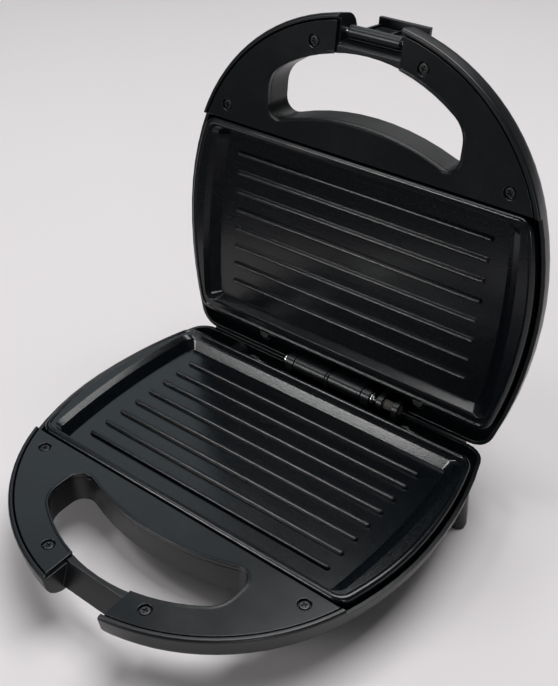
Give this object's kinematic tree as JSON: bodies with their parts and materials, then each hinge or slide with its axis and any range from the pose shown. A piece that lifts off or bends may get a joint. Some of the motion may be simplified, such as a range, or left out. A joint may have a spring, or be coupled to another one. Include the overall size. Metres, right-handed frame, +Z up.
{
  "type": "sandwich toaster",
  "caption": "Countertop sandwich toaster with ribbed plates in a D-shaped base and lid, a loop handle, a knuckle hinge and a latch, standing open.",
  "frame": {"origin": "centre of the bounding box's underside: on the table plane, midway across and midway front to back with the lid open", "axes": "+Z up, +Y from the handle towards the hinge, +X to the right when the handle faces the user; the middle plane is X = 0"},
  "size_m": [0.2414, 0.276, 0.259],
  "materials": {
    "housing_plastic": "fine-grained black plastic with a soft sheen",
    "cover_plastic": "satin black plastic",
    "coated_plate": "cast, with a dark speckled non-stick coating",
    "heater_tube": "heat-tinted steel tube",
    "sheet_steel": "zinc-plated sheet",
    "reflector_sheet": "bright sheet",
    "plain_screws": "zinc-plated",
    "black_screws": "blackened steel",
    "pad_rubber": "matt rubber",
    "pin_steel": "plain drawn steel",
    "sleeve_fabric": "woven glass-fibre sleeve",
    "ceramic_white": "unglazed ceramic",
    "block_plastic": "moulded nylon",
    "gland_rubber": "matt rubber",
    "red_lens": "clear red, moulded",
    "green_lens": "clear green, moulded",
    "lamp_glass": "small neon lamps"
  },
  "bodies": {
    "base": {"base_housing": "housing_plastic", "base_handle_cover": "cover_plastic", "base_plate": "coated_plate", "base_heater": "heater_tube", "base_heater_clamps": "sheet_steel", "base_clamp_screws": "plain_screws", "base_reflector": "reflector_sheet", "base_plate_screws": "plain_screws", "base_cover_screws": "black_screws", "foot_pads": "pad_rubber", "hinge_pin": "pin_steel", "hinge_clip": "sheet_steel", "wire_sleeve": "sleeve_fabric", "thermostat": "ceramic_white", "terminal_block": "block_plastic", "cord_inlet": "gland_rubber"},
    "lid": {"lid_housing": "housing_plastic", "lid_handle_cover": "cover_plastic", "lid_plate": "coated_plate", "lid_heater": "heater_tube", "lid_heater_clamps": "sheet_steel", "lid_clamp_screws": "plain_screws", "lid_reflector": "reflector_sheet", "lid_plate_screws": "plain_screws", "lid_cover_screws": "black_screws", "thermal_fuse": "sleeve_fabric", "power_lens": "red_lens", "ready_lens": "green_lens", "lamp_bulbs": "lamp_glass", "latch_pin": "pin_steel"},
    "latch": {"latch": "housing_plastic"}
  },
  "joints": [
    {"name": "lid_hinge", "type": "hinge", "parent": "base", "child": "lid", "pos_m": [0, 0.08071, 0.0422], "axis": [1, 0, 0], "range_deg": [0, 95]},
    {"name": "latch_hinge", "type": "hinge", "parent": "lid", "child": "latch", "pos_m": [0, 0.10831, 0.24858], "axis": [1, 0, 0], "range_deg": [0, 180]}
  ]
}
